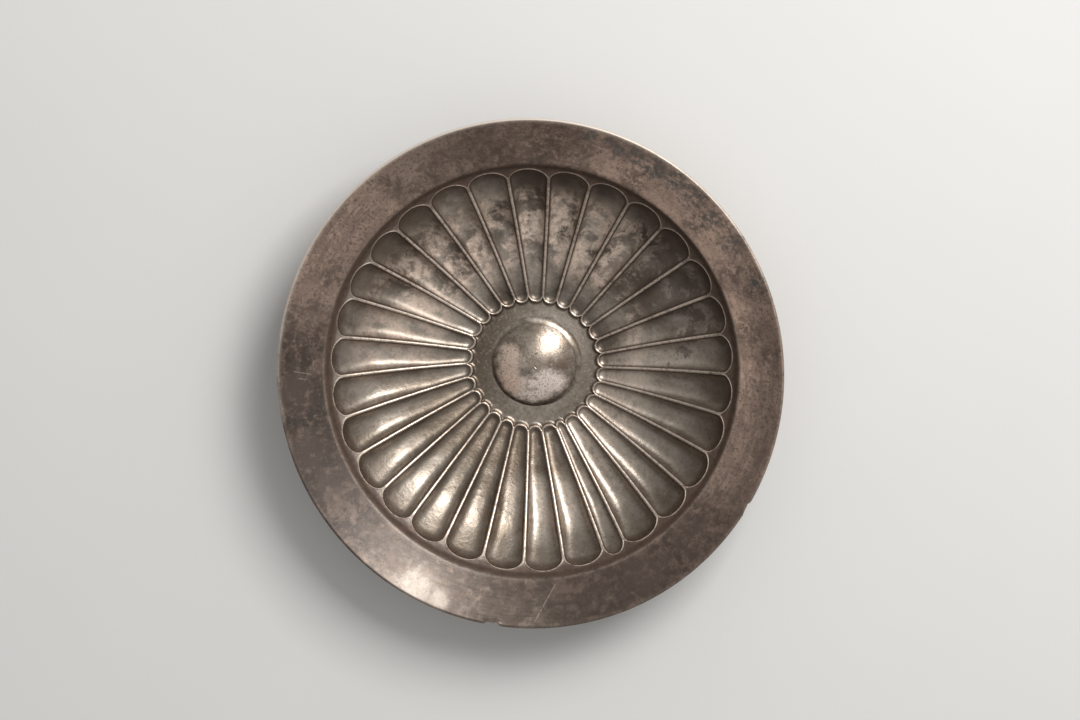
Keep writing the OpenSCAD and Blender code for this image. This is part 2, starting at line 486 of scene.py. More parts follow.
def below(way):
    """Direction at right angles to a profile's heading, on its underside."""
    return np.array([way[1], -way[0]])


def flare(start, end, count):
    """Profile of the lip, which leaves a straight slope by FLARE in its middle."""
    t = steps(count)
    chord = end - start
    return start + chord * t - below(unit(chord)) * 4 * FLARE * t * (1 - t)


def eased(before, corner, after, reach, count):
    """A corner of a profile, rounded over a reach on either side."""
    t = steps(count)
    start = corner + unit(before - corner) * reach
    end = corner + unit(after - corner) * reach
    return (1 - t) ** 2 * start + 2 * t * (1 - t) * corner + t**2 * end


# Steps of the inner and outer profile round the rim's edge and up the lip
EDGE_STEPS = (8, 5)
LIP_STEPS = (18, 9)
# Steps up to the lip's corner and round it, and the reach of its easing on both profiles
RISE_STEPS = 3
BEND_STEPS = 4
BEND_REACH = (1, 1.5)


def lip_profiles():
    """Inner and outer profile of step and lip, from the shoulder to the rim."""
    wall = np.array([WALL_R, SHOULDER_Z])
    lip = np.array([LIP_R, LIP_Z])
    crest = np.array([RIM_R - EDGE_D / 2, RIM_Z - EDGE_D / 2])
    slope = math.degrees(math.atan2(LIP_RISE, LIP_W))
    top = arc(crest, EDGE_D / 2, 90 + slope, 0, EDGE_STEPS[0])
    bottom = arc(crest, EDGE_D / 2, slope - 90, 0, EDGE_STEPS[1])
    face = flare(lip, top[0], LIP_STEPS[0])
    step = unit(lip - wall)
    heading = unit(face[1] - face[0])
    corner = lip + SHEET_T * (below(step) + below(heading)) / (1 + step @ heading)
    under = flare(corner, bottom[0], LIP_STEPS[1])
    foot = wall + (wall - [0, BALL_Z]) * SHEET_T / BALL_R
    made = []
    for start, bend, run, end, reach in zip(
        (wall, foot), (lip, corner), (face, under), (top, bottom), BEND_REACH
    ):
        curve = eased(start, bend, run[2], reach, BEND_STEPS)
        rise = blend(start, curve[0], steps(RISE_STEPS))
        made.append(np.concatenate([rise, curve[1:], run[2:], end[1:]]))
    return made


def lip_face(work, tongue, edge, profile, fine):
    """The strip outside one half of a tongue's arch, then step and lip out to the rim."""
    edge = edge[tongue.arch_arc]
    angle = np.arctan2(edge[:, 1], edge[:, 0])
    t = steps(STRIP_STEPS)
    r = blend(np.hypot(edge[:, 0], edge[:, 1]), profile[0, 0], t)
    z = blend(edge[:, 2], profile[0, 1], t)
    # Dirt with painted shade on the strip outside the arches and in the step's cove
    work.grid(around(r, angle, z), crease=0.15 * fine)
    r, z = profile.T[..., None]
    dirt = 0.45 * ramp(r, LIP_R + 0.2, LIP_R - 1.4)
    worn = np.maximum(0.3 * bell(r, LIP_R + 0.2, 0.5), bell(r, RIM_R - 0.3, 0.7))
    work.grid(around(r, angle, z), crease=dirt * fine, wear=worn * fine)


def by_noise(points, height, span, seed):
    """Smooth unevenness at each point, up to about a height either way."""
    scaled = points / span + np.array([seed, 2 * seed, 3 * seed])
    return height * np.array([noise.noise(Vector(p)) for p in scaled])


# Chips of the rim: compass turn in degrees, half width and bite
RIM_CHIPS = ((188.5, 3, 1.5), (121, 2.4, 0.7))
# Dents, or bumps if the depth is below 0: compass turn, level radius, half width and depth
DENTS = (
    (155.8, 65, 1.2, 0.45), (109.8, 103, 3, 0.35), (113, 97, 4, -0.3), (231, 64, 3.5, 0.1),
)


def handwork(points):
    """Out of round rim, hammer marks, chips of the edge and dents."""
    turn = np.arctan2(points[:, 0], points[:, 1])
    r = np.hypot(points[:, 0], points[:, 1])
    outward = np.clip((r - DISC_R) / (RIM_R - DISC_R), 0, 1)
    stretch = OVAL * np.cos(2 * turn) * outward**2
    at_rim = ramp(r, RIM_R - 3, RIM_R)
    for where, half, bite in RIM_CHIPS:
        off = np.angle(np.exp(1j * (turn - math.radians(where)))) * RIM_R
        ragged = 1 + 0.35 * np.sin(3.1 * off)
        stretch = stretch - bite * ragged * at_rim * np.exp(-((off / half) ** 4))
    flat = points * [1, 1, 0]
    off_disc = ramp(r, DISC_R - 2, DISC_R + 4)
    off_lip = 1 - 0.7 * ramp(r, LIP_R - 2, LIP_R + 1)
    inner_face = (points[:, 2] > RIPPLE_Z) * ramp(r, BOSS_R, BOSS_R + 2)
    z = points[:, 2] + by_noise(flat, *SWELL) * (0.3 + outward) * off_disc
    z += by_noise(flat, *HAMMER) * off_disc * off_lip
    z += by_noise(flat, *RIPPLE) * inner_face
    z += WARP * np.sin(3 * turn + 0.8) * outward**3
    for where, away, half, sink in DENTS:
        gone = np.hypot(*(points[:, :2] - spot(where, away)).T)
        z -= sink * bell(gone, 0, half)
    r = r + stretch
    return np.stack([r * np.sin(turn), r * np.cos(turn), z], 1)


# Values at the bowl's points: dirt in creases, with painted shade in the step's cove, worn edges, and the
# tongues' floors
BOWL_VALUES = ("crease", "wear", "channel")


def make_bowl():
    """The raised sheet: tongued inner face, gadrooned underside, lip and disc."""
    work = Patchwork(*BOWL_VALUES)
    inner, outer = lip_profiles()
    for number in range(TONGUES):
        for sign in (-1, 1):
            for fine, profile in ((True, inner), (False, outer)):
                tongue = Tongue(number, sign, FINE_SIDE if fine else PLAIN_SIDE)
                edge = tongue_face(work, tongue, fine)
                angle = disc_face(work, tongue, edge, DISC_Z if fine else 0)
                lip_face(work, tongue, edge, profile, fine)
            # Edge of the opening under the boss
            work.grid(around(HOLE_R, angle, np.array([[DISC_Z], [0]])))
    return work.mesh("bowl_sheet", handwork)


# Steps round the boss and up it, and power by which they are closer at the foot
BOSS_TURNS = 160
BOSS_STEPS = 39
BOSS_CLOSER = 1.6
# Dent in the boss: place in plan, half width and depth
BOSS_DENT = (spot(190, 6.2), 2.6, 0.1)


def dome(r, base, foot, rise):
    """Height above the disc of a dome that is part of a ball."""
    ball = (base**2 + rise**2) / (2 * rise)
    return foot + rise - ball + np.sqrt(ball**2 - r**2)


def dome_radius(z, base, foot, rise):
    """Level radius of such a dome at a height above the disc."""
    ball = (base**2 + rise**2) / (2 * rise)
    return np.sqrt(ball**2 - (z - foot - rise + ball) ** 2)


def boss_shape(points):
    """Hammer marks and a shallow dent on the boss."""
    points = points.copy()
    collar_z = DISC_Z + COLLAR_H
    high = ramp(points[:, 2], collar_z, collar_z + 2)
    points[:, 2] += by_noise(points, *BOSS_HAMMER) * high
    place, half, sink = BOSS_DENT
    gone = np.hypot(*(points[:, :2] - place).T)
    points[:, 2] -= sink * np.exp(-((gone / half) ** 4)) * high
    return points


def make_boss():
    """The hollow boss, domed outside and inside."""
    work = Patchwork()
    turn = np.linspace(0, 2 * math.pi, BOSS_TURNS + 1)
    r = BOSS_R * (1 - steps(BOSS_STEPS)[:, 0] ** BOSS_CLOSER)
    shrink = 1 - BOSS_T / BOSS_R
    outer = np.stack([r, DISC_Z + dome(r, BOSS_R, COLLAR_H, BOSS_RISE - COLLAR_H)], 1)
    r = r * shrink
    inner = np.stack([r, DISC_Z + dome(r, BOSS_R * shrink, 0, BOSS_RISE - BOSS_T)], 1)
    foot = np.array([[BOSS_R, DISC_Z]])
    for profile in (np.concatenate([foot, outer]), np.concatenate([inner[::-1], foot])):
        r, z = profile.T[..., None]
        work.grid(around(r, turn, z))
    return work.mesh("boss_cap", boss_shape)


# Compass turn where the fillet is broadest and highest, and its least and greatest sizes
SEAM_SIDE = 30
SEAM_WIDE = (1, 3)
SEAM_HIGH = (0.45, 1.15)
# Gap between fillet and boss, and steps round it, over it and along its other faces
SEAM_GAP = 0.03
SEAM_TURNS = 180
SEAM_STEPS = 14
SEAM_BACK_STEPS = 2


def make_seam():
    """Hollow fillet of hard solder that runs out on the disc and up the boss."""
    work = Patchwork()
    turn = np.linspace(0, 2 * math.pi, SEAM_TURNS + 1)
    lean = (1 + np.cos(QUARTER - turn - math.radians(SEAM_SIDE))) / 2
    uneven = 1 + 0.06 * np.sin(5 * turn) + 0.05 * np.sin(11 * turn + 1)
    wide = blend(*SEAM_WIDE, lean) * uneven
    high = blend(*SEAM_HIGH, lean) * uneven
    above = np.maximum(high, COLLAR_H)
    foot = BOSS_R + SEAM_GAP
    inner = dome_radius(above, BOSS_R, COLLAR_H, BOSS_RISE - COLLAR_H) + SEAM_GAP
    t = (1 - np.cos(math.pi * steps(SEAM_STEPS))) / 2
    floor = DISC_Z - DISC_FALL * 0.1
    work.grid(around(blend(inner, BOSS_R + wide, 1 - t), turn, floor + high * t**2))
    t = steps(SEAM_BACK_STEPS)
    work.grid(around(blend(foot, inner, 1 - t), turn, floor + high * (1 - t)))
    work.grid(around(foot + (wide - SEAM_GAP) * t, turn, floor + 0 * t))
    return work.mesh("solder_fillet")


# Half side of the ground, steps along a side, and its height just below the bowl
GROUND_HALF = 2500
GROUND_STEPS = 40
GROUND_Z = -0.05


def make_ground():
    work = Patchwork()
    side = np.linspace(-GROUND_HALF, GROUND_HALF, GROUND_STEPS + 1)
    x, y = np.meshgrid(side, side)
    work.grid(np.stack([x, y, 0 * x + GROUND_Z], -1))
    return work.mesh("ground")


class Nodes:
    """A node tree and short ways to add to it."""

    def __init__(self, tree):
        self.tree = tree

    def add(self, kind, sockets=None, **settings):
        """New node with settings and with constants or links in its sockets."""
        node = self.tree.nodes.new(kind)
        for key, value in settings.items():
            setattr(node, key, value)
        for key, value in (sockets or {}).items():
            self.put(node.inputs[key], value)
        return node

    def put(self, socket, value):
        """Links a socket to another, or sets it to a constant."""
        if isinstance(value, bpy.types.NodeSocket):
            self.tree.links.new(value, socket)
        else:
            socket.default_value = value

    def vector(self, operation, a, b=(0, 0, 0), scale=1):
        node = self.add("ShaderNodeVectorMath", {0: a, 1: b, 3: scale}, operation=operation)
        return node.outputs["Value" if operation in ("LENGTH", "DISTANCE", "DOT_PRODUCT") else "Vector"]

    def math(self, operation, *values):
        return self.add("ShaderNodeMath", dict(enumerate(values)), operation=operation).outputs[0]

    def times(self, value, factor, plus=0):
        """A value times a factor, plus another value."""
        return self.math("MULTIPLY_ADD", value, factor, plus)

    def rest(self, share):
        """What a share leaves of the whole."""
        return self.math("SUBTRACT", 1, share)

    def product(self, made, *values):
        for value in values:
            made = self.math("MULTIPLY", made, value)
        return made

    def most(self, made, *values):
        for value in values:
            made = self.math("MAXIMUM", made, value)
        return made


class Look(Nodes):
    """One material, its textures laid out in millimetres over the object."""

    def __init__(self, name):
        self.material = bpy.data.materials.new(name)
        self.material.use_nodes = True
        super().__init__(self.material.node_tree)
        self.shader = self.tree.nodes["Principled BSDF"]
        place = self.add("ShaderNodeTexCoord").outputs["Object"]
        self.place = self.vector("SCALE", place, scale=1 / MM)
        self.x, self.y, self.z = self.add("ShaderNodeSeparateXYZ", {0: self.place}).outputs
        self.plan = self.vector("MULTIPLY", self.place, (1, 1, 0))
        self.radius = self.vector("LENGTH", self.plan)

    def band(self, value, low, high, top=1):
        """Soft step from 0 at low to top at high."""
        sockets = {"Value": value, "From Min": low, "From Max": high, "To Max": top}
        return self.add("ShaderNodeMapRange", sockets, interpolation_type="SMOOTHSTEP").outputs["Result"]

    def at(self, low, high, top=1):
        """Soft step over the level radius."""
        return self.band(self.radius, low, high, top)

    def mix(self, share, a, b):
        a, b = ((*colour, 1) if isinstance(colour, tuple) else colour for colour in (a, b))
        return self.add("ShaderNodeMix", {0: share, 6: a, 7: b}, data_type="RGBA").outputs[2]

    def over(self, tone, *rows):
        """A tone with colours laid over it, each by the product of the shares in its row."""
        for colour, *shares in rows:
            tone = self.mix(self.product(*shares), tone, colour)
        return tone

    def layers(self, tone, *rows):
        """A tone with colours laid over it by soft steps: colour, value, low, high and share of each."""
        return self.over(tone, *((colour, self.band(*step)) for colour, *step in rows))

    def cloud(self, span, detail=4, rough=0.55, warp=0, place=None):
        """Noise whose forms are about a span across."""
        sockets = {"Vector": self.place if place is None else place, "Scale": 1 / span}
        sockets.update({"Detail": detail, "Roughness": rough, "Distortion": warp})
        return self.add("ShaderNodeTexNoise", sockets).outputs["Fac"]

    def near(self, places, ragged, soft):
        """Cover by ragged spots, each a compass turn, a radius and a half size."""
        cover = 0
        for turn, r, half in places:
            gone = self.vector("DISTANCE", self.plan, (*spot(turn, r), 0))
            edge = self.times(gone, 1 / half, ragged)
            cover = self.most(cover, self.band(edge, 1 + soft, 1 - soft))
        return cover

    def far(self, turn):
        """How far a place lies toward a compass turn, seen in plan."""
        return self.vector("DOT_PRODUCT", self.plan, (*spot(turn, 1), 0))

    def stroke(self, start, end, half):
        """Thin straight line in plan between two places."""
        start, end = spot(*start), spot(*end)
        length = float(np.hypot(*(end - start)))
        way = (end - start) / length
        along = self.math("ADD", self.vector("DOT_PRODUCT", self.plan, (*way, 0)), float(-start @ way))
        across = self.vector("DOT_PRODUCT", self.plan, (way[1], -way[0], 0))
        off = float(start[1] * way[0] - start[0] * way[1])
        across = self.math("ABSOLUTE", self.math("ADD", across, off))
        ends = self.product(self.band(along, 0, 1.5), self.band(along, length, length - 1.5))
        return self.product(ends, self.band(across, half, half / 3))

    def ring(self, gone, radius, half):
        """Thin line where a distance has a given size."""
        off = self.math("ABSOLUTE", self.math("SUBTRACT", gone, radius))
        return self.band(off, half, half / 4)

    def scratches(self, turn, long, thin, rare):
        """Fine straight scratches along one direction in plan."""
        sockets = {"Vector": self.plan, "Rotation": (0, 0, math.radians(turn)), "Scale": (long, thin, 1)}
        place = self.add("ShaderNodeMapping", sockets, vector_type="TEXTURE").outputs[0]
        return self.band(self.cloud(1, 2, 0.5, 0, place), rare, rare + 0.05)

    def turned(self, long, thin):
        """Noise drawn out along circles round the axis."""
        angle = self.math("ARCTAN2", self.y, self.x)
        sockets = {0: self.times(angle, RIM_R / long), 1: self.times(self.radius, 1 / thin)}
        return self.cloud(1, 3, 0.6, 0, self.add("ShaderNodeCombineXYZ", sockets).outputs[0])

    def surface(self, colour, metallic, roughness):
        for name, value in (("Base Color", colour), ("Metallic", metallic), ("Roughness", roughness)):
            self.put(self.shader.inputs[name], value)

    def bump(self, height, depth, strength):
        sockets = {"Strength": strength, "Distance": depth * MM, "Height": height}
        self.put(self.shader.inputs["Normal"], self.add("ShaderNodeBump", sockets).outputs[0])


# Colours of the silver, of what has settled on it, and of painted light and shade
SILVER = (0.43, 0.378, 0.326)
OLIVE = (0.24, 0.196, 0.155)
DULL = (0.17, 0.134, 0.104)
ROSE = (0.65, 0.465, 0.372)
FILM_AND_REFLECTION = (0.67, 0.535, 0.445)
CHALK = (0.87, 0.76, 0.685)
BLUSH = (0.80, 0.60, 0.49)
BROWN = (0.26, 0.187, 0.152)
TARNISH_AND_SHADE = (0.064, 0.045, 0.035)
UPPER_SHADE = (0.125, 0.098, 0.077)
BLACK_SHADE = (0.026, 0.019, 0.015)
UMBER = (0.10, 0.073, 0.058)
DIRT_AND_SHADE = (0.06, 0.036, 0.026)
PALE = (0.78, 0.655, 0.555)
# Painted highlight of the rim's edge
RIM_GLINT = (0.74, 0.66, 0.58)
SLATE = (0.08, 0.096, 0.098)
GUNMETAL = (0.165, 0.128, 0.104)
RUST = (0.15, 0.10, 0.077)
# Lighter and darker tone of the ground
GROUND_LIGHT = (0.81, 0.81, 0.805)
GROUND_DARK = (0.78, 0.78, 0.775)

# Sides of the lip that are darkest, partly from tarnish and partly painted shade: compass turn, half span in
# degrees, and its weight
DARK_SIDES = (
    (150, 26, 1), (118, 12, 0.4), (182, 12, 0.5), (252, 32, 0.95), (302, 16, 0.4), (357, 15, 0.7),
)
# Other sides, turn and half span: where the lip gets nearly black painted shade, is even grey, is rosy with
# painted light toward the tongues, gets painted shade toward the rim, or is of a dark metallic gloss
BLACK_SHADE_SIDE = (253, 28)
GREY_SIDE = (338, 13)
ROSY_LIT_SIDE = (45, 35)
SHADY_SIDE = (103, 32)
GLOSSY_SIDE = (198, 46)
# How ragged the ends of the dark, the black and the glossy sides are
FRAY = 0.6
# Side where a highlight is painted on the rim's edge, side where the corners between the arches are rubbed,
# and where the tongues stay dark
RIM_GLINT_SIDE = (342, 62)
CORNER_SIDE = (245, 70)
DIM_SIDE = (62, 15)
# Turn of the lighter side of the disc, a little dull at its edge; the side across from it is darkest with
# painted shade
DISC_LIT_SIDE = 107
# Sides where the tongues get painted shade, and where they get painted light: compass turn, half span, radii
# where it begins and is full, share
SHADED_TONGUES = ((200, 38, 54, 46, 0.95), (314, 26, 60, 76, 0.55), (140, 55, 72, 84, 0.5))
LIT_TONGUES = ((116, 32, 58, 44, 0.6), (168, 24, 46, 58, 0.4), (18, 16, 46, 58, 0.35))
# Stains of the lip, and places with a lighter silver that paints a highlight: compass turn, level radius and
# half size
SLATE_STAINS = (
    (14, 106.5, 3), (20, 105.5, 4.5), (25.5, 104.5, 4), (31, 103.5, 5), (36, 105, 5),
    (42, 104.5, 6), (49, 103.5, 5), (56, 103.5, 5.5), (67, 105, 4),
)
DARK_STAINS = (
    (28, 95, 6), (47, 95, 5), (63, 96, 6), (78, 95, 6),
    (134.6, 97, 8), (150, 99, 8), (240, 98, 8), (251, 103, 8), (266, 102, 8),
    (352, 94.5, 6), (4, 96, 9), (68, 104, 6), (85, 103, 5), (296, 94, 6),
    (323.7, 102, 3.5), (325.5, 98, 4), (328, 94, 4.5), (334, 96, 5),
)
HIGHLIGHT_PLACES = ((208, 106, 7), (202, 107, 4))
# Long scratches of the lip: compass turn and level radius of both ends, and their half width
SCRATCHES = (
    ((179, 108.4), (173, 92.6)), ((270.6, 103), (269.4, 94.5)), ((268.7, 101), (268.2, 96)),
)
SCRATCH_HALF = 0.24
# Fine scratches all over the bowl and the boss: direction, length, width and rareness
BOWL_LINES = ((25, 9, 0.1, 0.7), (-50, 7, 0.08, 0.72), (80, 8, 0.09, 0.72))
BOSS_LINES = ((35, 5, 0.08, 0.7), (-30, 5, 0.08, 0.72))


class BowlLook(Look):
    """Tarnished silver: clouded tongues, pale worn beads, dirt in the creases, stained lip, with painted
    light and shade on some sides.
    """

    def __init__(self):
        super().__init__("aged_silver")
        # Values that the mesh carries at its points
        carried = [self.add("ShaderNodeAttribute", attribute_name=name) for name in BOWL_VALUES]
        self.crease, self.wear, self.channel = (node.outputs["Fac"] for node in carried)
        self.patches = self.cloud(13, 8, 0.7, 0.2)
        self.blots = self.cloud(5, 7, 0.7, 0.2)
        self.mottle = self.cloud(3.2, 6, 0.75)
        self.grain = self.cloud(1.3, 5, 0.7)
        self.pits = self.band(self.cloud(0.9, 2, 0.5), 0.67, 0.73, 0.6)
        self.ragged = self.times(self.patches, 1, -0.5)
        self.upper = self.band(self.y, -25, 30)
        self.on_lip = self.at(LIP_R - 0.8, LIP_R + 0.6)
        self.at_rim = self.at(RIM_R - 6, RIM_R - 4)
        self.glossy = self.side(*GLOSSY_SIDE, FRAY)
        self.between = self.product(self.at(WALL_R - 7, WALL_R - 5), self.rest(self.channel))
        self.dim = self.product(self.side(*DIM_SIDE), self.at(46, 58), self.channel)
        self.rosy = self.rosy_film_and_reflection()
        tone = self.mix(self.at(TIP_R, DISC_R - 1), self.tongues(), self.disc())
        tone = self.mix(self.between, tone, self.flats())
        tone = self.mix(self.on_lip, tone, self.lip())
        self.surface(self.worn(self.dirty(tone)), *self.sheen())
        self.bump(self.relief(), 0.06, 1)

    def side(self, turn, half, fray=1):
        """Share of a place within a half span of a compass turn, with ragged ends."""
        cosine = self.math("DIVIDE", self.far(turn), self.radius)
        cosine = self.times(self.ragged, fray, cosine)
        return self.band(cosine, math.cos(math.radians(1.5 * half)), math.cos(math.radians(0.5 * half)))

    def rosy_film_and_reflection(self):
        """Share of the rosy film on the floors of the upper tongues, in broken clouds: partly a real film,
        partly a painted reflection.
        """
        inland = self.product(self.at(36, 50), self.at(84, 74))
        speckle = self.times(self.band(self.mottle, 0.38, 0.56), 0.65, 0.35)
        clouds = self.product(self.band(self.patches, 0.42, 0.56), speckle, self.band(self.grain, 0.2, 0.45))
        return self.product(self.upper, self.channel, inland, clouds, self.rest(self.dim))

    def tongues(self):
        """Colour of tongues and ridges: cloudy; painted shade on the upper side, darker arches partly from
        tarnish and partly painted shade, and painted shade and light by sides.
        """
        clouds = self.cloud(30, 5, 0.6, 0.4)
        lower = self.layers(OLIVE, (SILVER, clouds, 0.34, 0.64))
        # The upper tongues' darker base is painted shade
        upper = self.layers(UPPER_SHADE, (SILVER, clouds, 0.37, 0.65))
        tone = self.layers(self.mix(self.upper, lower, upper), (DULL, self.blots, 0.5, 0.72, 0.45))
        # Arch ends darker, more on the upper side: partly tarnish, partly painted shade
        fading = self.band(self.times(self.patches, 24, self.radius), 87, 102)
        ending = self.math("ADD", self.band(self.y, -80, 20, 0.45), 0.4)
        # The rosy film is partly a painted reflection
        tone = self.over(tone, (FILM_AND_REFLECTION, self.rosy), (UMBER, self.dim, 0.6))
        tone = self.over(tone, (UMBER, fading, self.channel, ending))
        short = self.product(self.channel, self.at(76, 64))
        blotchy = self.band(self.blots, 0.3, 0.5)
        # Painted shade on the tongues of some sides, painted light on others
        for sides, part, colour in ((SHADED_TONGUES, self.channel, DULL), (LIT_TONGUES, short, PALE)):
            for turn, half, begin, full, share in sides:
                where = self.product(self.side(turn, half), self.at(begin, full, share))
                tone = self.over(tone, (colour, where, part, blotchy))
        return tone

    def disc(self):
        """Colour of the disc, darkest on one side with painted shade."""
        far = self.far(DISC_LIT_SIDE)
        speckled = self.layers(SILVER, (PALE, self.mottle, 0.4, 0.62, 0.3))
        # Painted shade: the dull base stays on the side across from the lighter one
        return self.layers(
            DULL,
            (speckled, far, -27, 4),
            (OLIVE, far, 10, 25, 0.6),
            (PALE, self.grain, 0.46, 0.36, 0.35),
            (OLIVE, self.blots, 0.4, 0.68, 0.6),
        )

    def flats(self):
        """Colour of the flats between the arches, rubbed at the corners on one side."""
        tone = self.layers(RUST, (UMBER, self.mottle, 0.4, 0.6))
        corners = self.at(WALL_R - 1.2, WALL_R - 2.6, 0.6)
        return self.over(tone, (SILVER, self.side(*CORNER_SIDE), corners))

    def lip(self):
        """Colour of the lip: rosy brown, grey or glossy by sides, with painted light and shade by sides,
        some nearly black, and stained.
        """
        tone = self.layers(BROWN, (ROSE, self.patches, 0.34, 0.64), (BROWN, self.mottle, 0.44, 0.62, 0.4))
        tone = self.over(tone, (GUNMETAL, self.side(*GREY_SIDE, 0.25), 0.6))
        tone = self.layers(
            tone, (TARNISH_AND_SHADE, self.grain, 0.48, 0.62, 0.5), (BROWN, self.turned(26, 2), 0.48, 0.57, 0.6)
        )
        inside = self.at(RIM_R - 4, RIM_R - 16)
        dark = 0
        for turn, half, weight in DARK_SIDES:
            dark = self.most(dark, self.times(self.side(turn, half, FRAY), weight))
        edge = self.times(self.blots, 2.4, -1.2)
        broken = self.band(self.mottle, 0.4, 0.56)
        return self.over(
            tone,
            # Painted light on the inner lip on one side, painted shade toward the rim on another
            (ROSE, inside, self.side(*ROSY_LIT_SIDE), 0.4),
            (TARNISH_AND_SHADE, self.rest(inside), self.side(*SHADY_SIDE), 0.5),
            (self.gloss(), self.glossy),
            # The darkest sides: partly tarnish, partly painted shade
            (TARNISH_AND_SHADE, dark, self.times(self.band(self.mottle, 0.32, 0.6), 0.35, 0.65)),
            # Nearly black painted shade on one side
            (BLACK_SHADE, self.side(*BLACK_SHADE_SIDE, FRAY), self.band(self.mottle, 0.3, 0.55, 0.7)),
            (BROWN, dark, self.band(self.patches, 0.5, 0.62, 0.35)),
            (UMBER, self.near(DARK_STAINS, edge, 0.7), broken, 0.7),
            # Lighter silver where the lip's highlight falls: a painted highlight
            (SILVER, self.near(HIGHLIGHT_PLACES, edge, 0.9), 0.6),
            (SLATE, self.near(SLATE_STAINS, edge, 0.45), broken, 0.62),
        )

    def gloss(self):
        """Colour of the lip's glossy side, with painted shade toward the tongues and dark along the turning
        lines.
        """
        return self.layers(
            GUNMETAL,
            (TARNISH_AND_SHADE, self.patches, 0.42, 0.62, 0.5),
            # Painted shade on the inner part, so that the highlight keeps to the outer part of the lip
            (TARNISH_AND_SHADE, self.radius, RIM_R - 7, RIM_R - 17, 0.6),
            (TARNISH_AND_SHADE, self.mottle, 0.48, 0.6, 0.5),
            (TARNISH_AND_SHADE, self.turned(34, 1.2), 0.48, 0.6, 0.45),
            (ROSE, self.blots, 0.52, 0.66, 0.2),
        )

    def dirty(self, tone):
        """The colour with dark grain, pits, and dirt in the creases, which also paints shade in the step's
        cove.
        """
        tone = self.layers(tone, (UMBER, self.grain, 0.5, 0.74, 0.5))
        dirt = self.band(self.grain, 0.15, 0.5, 0.9)
        return self.over(tone, (UMBER, self.pits), (DIRT_AND_SHADE, self.crease, dirt))

    def worn(self, tone):
        """The colour with pale worn beads and edges, a painted highlight along the rim on one side, and long
        scratches.
        """
        upper_half = self.rest(self.band(self.y, 30, -45))
        inner_lip = self.product(self.on_lip, self.at(RIM_R - 5, RIM_R - 8), upper_half)
        arches = self.product(self.times(self.upper, 0.35, 0.3), self.at(WALL_R - 9, WALL_R - 5))
        # Painted highlight on the rim's edge on one side; elsewhere the rim's pale wear is mostly kept off
        glint_side = self.side(*RIM_GLINT_SIDE)
        unlit_rim = self.product(self.at_rim, self.times(glint_side, -0.85, 0.85))
        kept = self.rest(self.most(inner_lip, arches, unlit_rim))
        worn = self.product(self.wear, self.band(self.blots, 0.25, 0.5), kept)
        scored = self.most(*(self.stroke(start, end, SCRATCH_HALF) for start, end in SCRATCHES))
        return self.over(
            tone,
            (PALE, worn, self.band(self.grain, 0.72, 0.46, 0.85)),
            # Painted highlight along the rim's edge
            (RIM_GLINT, self.wear, self.at_rim, glint_side),
            (PALE, scored, self.band(self.grain, 0.35, 0.55, 0.3)),
        )

    def sheen(self):
        """How metallic and how rough it is: matt under films, dirt and tarnish."""
        matt = self.product(self.upper, self.at(32, 40), self.times(self.rosy, 0.4, 0.6))
        cover = self.product(self.on_lip, self.times(self.glossy, -0.75, 0.8))
        film = self.most(matt, cover, self.between, self.times(self.crease, 0.8))
        rough = self.times(self.blots, 0.2, 0.28)
        rough = self.times(self.product(self.on_lip, self.glossy), -0.13, rough)
        return self.times(film, -0.6, 1), self.times(film, 0.1, rough)

    def relief(self):
        """Height of scratches, grain, turning lines of the lip, pits and hammer dimples."""
        lines = self.most(*(self.scratches(*line) for line in BOWL_LINES))
        height = self.times(lines, -0.25, self.times(self.grain, 0.5))
        height = self.times(self.product(self.on_lip, self.turned(20, 0.6)), 0.25, height)
        height = self.times(self.pits, -0.5, height)
        dimples = self.product(self.cloud(5, 5, 0.6), self.times(self.on_lip, -0.85, 1))
        return self.times(dimples, 4.4, height)


# Places on the boss: compass turn, radius and half size. Its matt film, and the rosy part of it
BOSS_FILM = (
    (292, 11.4, 4.6), (270, 11.2, 5.6), (250, 12, 5.4), (228, 13.2, 4.8), (208, 13, 4.8),
    (190, 12.2, 5.2), (168, 10.6, 6), (148, 9.6, 6), (130, 12, 4.8), (205, 9.2, 3.8),
)
BOSS_BLUSH = ((228, 13.5, 4.5),)
# Bare metal at the top, and the brown smear beside the film
BOSS_BARE = ((30, 3.5, 5), (330, 3, 4.5))
BOSS_SMEAR = ((86, 8, 2.2), (88, 12, 2.6), (80, 15, 2.2))
# Compass turns of the sides where the film is palest, and where dirt has stayed with painted shade
CHALK_SIDE = 125
DIRT_AND_SHADE_SIDE = 205
# Worn outline on the boss: middle in x and y, half width and half height
BOSS_MARK = (0.2, -8.4, 3.2, 2.3)
# Curved nick at its top: middle in x and y, and radius
BOSS_NICK = (1.9, 0.5, 1.7)


def dirt_and_shade_side(look):
    """Share of a place on the side of the boss where dirt has stayed, painted darker there as shade."""
    return look.band(look.far(DIRT_AND_SHADE_SIDE), 0, 15)


def boss_mark(look, ragged):
    """Share of the worn, squarish outline, open on its right."""
    x, y, wide, high = BOSS_MARK
    across = look.math("ABSOLUTE", look.times(look.x, 1 / wide, -x / wide))
    along = look.math("ABSOLUTE", look.times(look.y, 1 / high, -y / high))
    squarish = look.times(ragged, 0.7, look.most(across, along))
    return look.product(look.ring(squarish, 1, 0.4), look.band(look.x, 3.2, 1))


